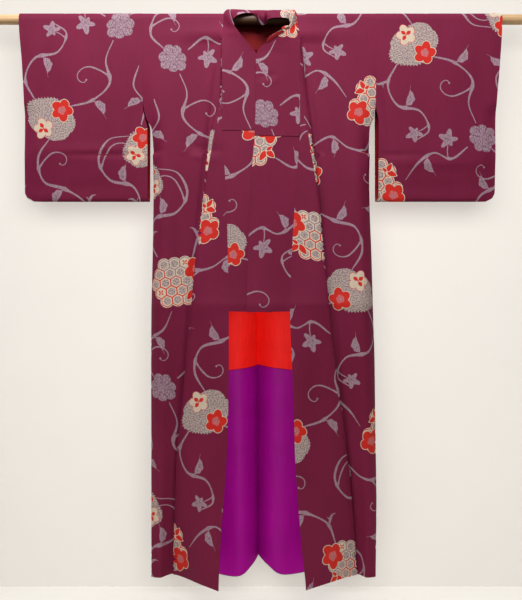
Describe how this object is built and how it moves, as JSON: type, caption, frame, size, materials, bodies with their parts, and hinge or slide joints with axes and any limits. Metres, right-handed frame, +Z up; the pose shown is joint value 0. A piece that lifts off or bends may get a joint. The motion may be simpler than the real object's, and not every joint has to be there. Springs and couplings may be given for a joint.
{
  "type": "kimono on a rod",
  "caption": "Woman's lined silk kimono with square sleeves and an opened wide collar, hung through both sleeves on a round wooden rod.",
  "frame": {"origin": "middle of the rod's axis", "axes": "+X towards the wearer's left along the rod, -Y out of the front of the garment, +Z up"},
  "size_m": [1.5, 0.1403, 1.5433],
  "materials": {
    "rod": "plain pale wood",
    "body_left": "woven plum silk",
    "body_right": "woven plum silk",
    "overlap_left": "woven plum silk",
    "overlap_right": "woven plum silk",
    "sleeve_left": "woven plum silk",
    "sleeve_right": "woven plum silk",
    "collar": "woven plum silk",
    "over_collar": "woven plum silk",
    "sleeve_lining_left": "plain red lining silk",
    "sleeve_lining_right": "plain red lining silk",
    "back_lining_left": "plain red lining silk",
    "back_lining_right": "plain red lining silk",
    "hem_lining_left": "plain purple lining silk",
    "hem_lining_right": "plain purple lining silk"
  },
  "bodies": {
    "root": {"rod": "rod", "body_left": "body_left", "body_right": "body_right", "overlap_left": "overlap_left", "overlap_right": "overlap_right", "sleeve_left": "sleeve_left", "sleeve_right": "sleeve_right", "collar": "collar", "over_collar": "over_collar", "sleeve_lining_left": "sleeve_lining_left", "sleeve_lining_right": "sleeve_lining_right", "back_lining_left": "back_lining_left", "back_lining_right": "back_lining_right", "hem_lining_left": "hem_lining_left", "hem_lining_right": "hem_lining_right"}
  },
  "joints": []
}
